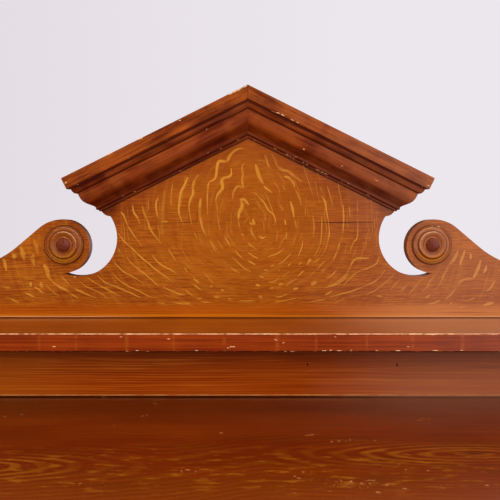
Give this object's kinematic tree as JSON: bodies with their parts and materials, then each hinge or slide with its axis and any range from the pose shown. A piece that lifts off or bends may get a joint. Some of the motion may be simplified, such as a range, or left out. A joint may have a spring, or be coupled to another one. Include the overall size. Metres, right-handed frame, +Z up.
{
  "type": "kitchen dresser",
  "caption": "Grained pine kitchen dresser: frieze drawers over panelled doors, with a shelved gallery and a pointed, scrolled pediment.",
  "frame": {"origin": "on the floor, under the middle of the whole box", "axes": "+Z up; the front with its doors and drawers faces -Y; +X to the right seen from the front"},
  "size_m": [1.312, 0.532, 1.313],
  "materials": {
    "grained_pine": "scumble-grained and varnished, satin gloss",
    "dark_pine": "stained dark red-brown and varnished, worn pale on the edges",
    "worktop_pine": "dark varnish, glossy, scratched",
    "bare_pine": "bare, aged",
    "iron": "dull",
    "brass": "aged"
  },
  "bodies": {
    "root": {"plinth_front": "dark_pine", "plinth_ends": "dark_pine", "end_left": "grained_pine", "end_right": "grained_pine", "bottom_board": "bare_pine", "partition": "bare_pine", "frame_stiles": "grained_pine", "frame_muntin": "grained_pine", "rail_top": "grained_pine", "rail_mid": "grained_pine", "rail_bottom": "grained_pine", "drawer_runners": "bare_pine", "drawer_guides": "bare_pine", "drawer_kickers": "bare_pine", "drawer_stops": "bare_pine", "cupboard_shelves": "bare_pine", "shelf_bearers": "bare_pine", "back_boards": "bare_pine", "glue_blocks": "bare_pine", "worktop": "worktop_pine", "worktop_screws": "iron", "frame_hinge_leaves": "brass", "hinge_pins": "brass", "upstand_board": "grained_pine", "gallery_shelf": "dark_pine", "shelf_brackets": "grained_pine", "gallery_board_lower": "grained_pine", "gallery_board_upper": "grained_pine", "crown_left": "dark_pine", "crown_right": "dark_pine", "crown_returns": "dark_pine", "roundel_left": "dark_pine", "roundel_right": "dark_pine", "back_cleats": "bare_pine", "cleat_screws": "iron"},
    "drawer_left": {"drawer_left_front": "grained_pine", "drawer_left_sides": "bare_pine", "drawer_left_back": "bare_pine", "drawer_left_bottom": "bare_pine", "drawer_left_knobs": "dark_pine"},
    "knob_left": {"door_left_knob": "dark_pine", "door_left_catch": "iron"},
    "door_left": {"door_left_stiles": "grained_pine", "door_left_rails": "grained_pine", "door_left_panel": "grained_pine", "door_left_beads": "dark_pine", "door_left_leaves": "brass"},
    "drawer_right": {"drawer_right_front": "grained_pine", "drawer_right_sides": "bare_pine", "drawer_right_back": "bare_pine", "drawer_right_bottom": "bare_pine", "drawer_right_knobs": "dark_pine"},
    "knob_right": {"door_right_knob": "dark_pine", "door_right_catch": "iron"},
    "door_right": {"door_right_stiles": "grained_pine", "door_right_rails": "grained_pine", "door_right_panel": "grained_pine", "door_right_beads": "dark_pine", "door_right_leaves": "brass"}
  },
  "joints": [
    {"name": "drawer_left_slide", "type": "slide", "parent": "root", "child": "drawer_left", "axis": [0, -1, 0], "range_m": [0, 0.35]},
    {"name": "drawer_right_slide", "type": "slide", "parent": "root", "child": "drawer_right", "axis": [0, -1, 0], "range_m": [0, 0.35]},
    {"name": "door_left_hinge", "type": "hinge", "parent": "root", "child": "door_left", "pos_m": [-0.57925, -0.2332, 0.4025], "axis": [0, 0, -1], "range_deg": [0, 170]},
    {"name": "door_right_hinge", "type": "hinge", "parent": "root", "child": "door_right", "pos_m": [0.57925, -0.2332, 0.4025], "axis": [0, 0, 1], "range_deg": [0, 170]},
    {"name": "knob_left_turn", "type": "hinge", "parent": "door_left", "child": "knob_left", "pos_m": [-0.0625, -0.23, 0.4305], "axis": [0, 1, 0], "range_deg": [0, 90]},
    {"name": "knob_right_turn", "type": "hinge", "parent": "door_right", "child": "knob_right", "pos_m": [0.0625, -0.23, 0.4305], "axis": [0, -1, 0], "range_deg": [0, 90]}
  ]
}
